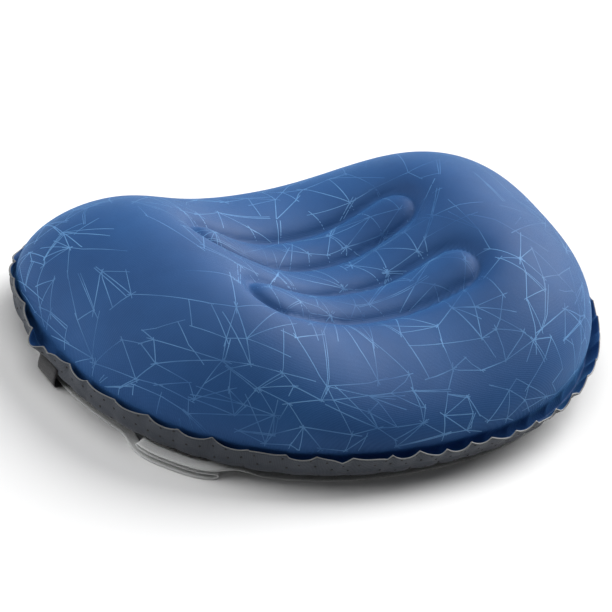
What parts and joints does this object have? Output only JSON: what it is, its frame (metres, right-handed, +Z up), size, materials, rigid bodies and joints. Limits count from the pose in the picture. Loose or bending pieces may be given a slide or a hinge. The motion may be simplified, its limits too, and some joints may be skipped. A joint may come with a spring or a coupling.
{
  "type": "inflatable camp pillow",
  "caption": "Inflatable camp pillow with a curved body, raised ends round a head cradle, welded fabric skins, an air valve underneath and an elastic strap held by webbing loops.",
  "frame": {"origin": "on the ground under the middle of the pillow's outline", "axes": "+Z up, +X along the pillow's length, +Y towards the rear, the side the ends sweep to"},
  "size_m": [0.4254, 0.306, 0.0943],
  "materials": {
    "top_fabric": "satin stretch knit, film-backed, with a printed net of pale lines",
    "bottom_fabric": "matte film-backed fabric with raised grip dots",
    "film": "translucent welded film",
    "webbing": "black woven webbing",
    "elastic": "light grey woven elastic",
    "valve_plastic": "soft dark moulding",
    "silicone": "translucent grey silicone"
  },
  "bodies": {
    "pillow": {"top_skin": "top_fabric", "bottom_skin": "bottom_fabric", "rear_tie_ring": "film", "front_tie_ring": "film", "valve_base": "film", "plug_seal": "silicone", "tether_ring": "valve_plastic", "elastic_strap": "elastic", "left_loop": "webbing", "right_loop": "webbing"},
    "plug": {"deflate_plug": "valve_plastic", "plug_tether": "valve_plastic", "flap_cage": "valve_plastic"},
    "flap": {"check_flap": "silicone"},
    "cap": {"inflate_cap": "valve_plastic", "cap_tether": "valve_plastic"}
  },
  "joints": [
    {"name": "plug_hinge", "type": "hinge", "parent": "pillow", "child": "plug", "pos_m": [0.09295, 0.13244, 0.0111], "axis": [0.9828, -0.1793, -0.0443], "range_deg": [0, 120]},
    {"name": "cap_hinge", "type": "hinge", "parent": "plug", "child": "cap", "pos_m": [0.08808, 0.10807, 0.00179], "axis": [-0.9828, 0.1793, 0.0443], "range_deg": [0, 120]},
    {"name": "flap_lift", "type": "slide", "parent": "plug", "child": "flap", "axis": [-0.0118, -0.3004, 0.9537], "range_m": [0, 0.002], "stiffness_N_per_m": 20}
  ]
}
